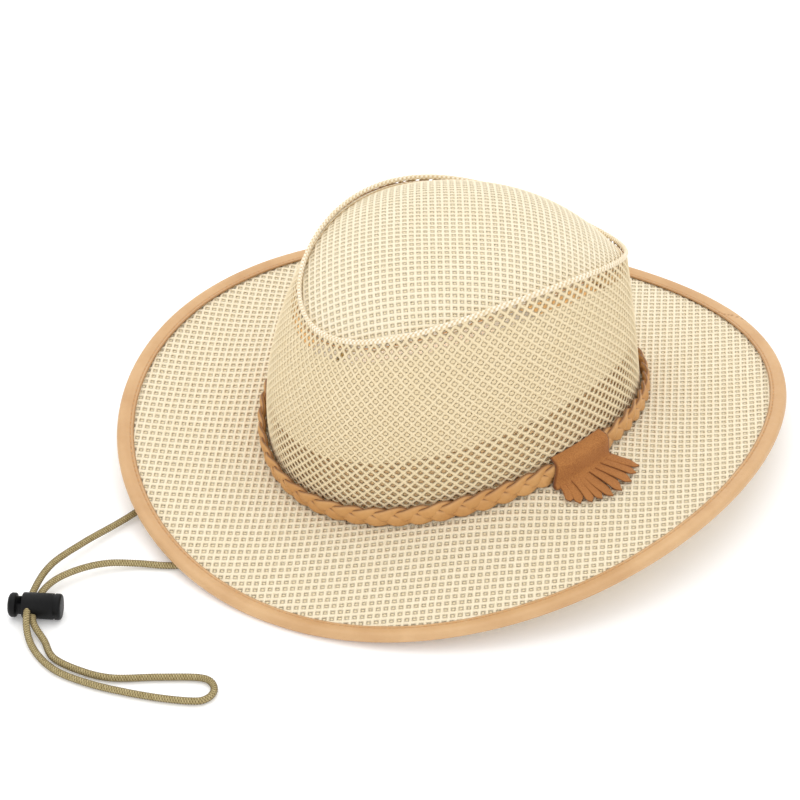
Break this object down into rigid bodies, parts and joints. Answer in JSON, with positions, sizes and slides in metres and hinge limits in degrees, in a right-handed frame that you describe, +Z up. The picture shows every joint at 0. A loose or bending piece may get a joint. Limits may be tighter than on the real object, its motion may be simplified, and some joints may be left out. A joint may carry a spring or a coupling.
{
  "type": "mesh cowboy hat",
  "caption": "Cowboy hat in open knitted mesh with a braided band, a fringed suede tab, a bound brim and a chin cord with a cord lock.",
  "frame": {"origin": "middle of the brim in plan, at the height of the surface that the hat rests on", "axes": "+Z up, -Y towards the front of the hat, +X towards the wearer's left, where the fringe tab is"},
  "size_m": [0.3194, 0.4457, 0.1275],
  "materials": {
    "straw_mesh": "matt knitted mesh",
    "faux_leather": "satin",
    "braid": "satin",
    "suede": "napped",
    "tan_cloth": "matt",
    "khaki_cord": "matt woven",
    "black_plastic": "satin"
  },
  "bodies": {
    "hat": {"brim": "straw_mesh", "brim_binding": "faux_leather", "crown_side": "straw_mesh", "crown_top": "straw_mesh", "sweatband": "tan_cloth", "hat_band": "braid", "fringe_tab": "suede", "chin_cord": "khaki_cord", "cord_lock_body": "black_plastic"},
    "lock_button": {"cord_lock_button": "black_plastic"}
  },
  "joints": [
    {"name": "lock_button_press", "type": "slide", "parent": "hat", "child": "lock_button", "axis": [0.7431, 0.6691, 0], "range_m": [0, 0.002], "stiffness_N_per_m": 400, "springref_m": -0.004}
  ]
}
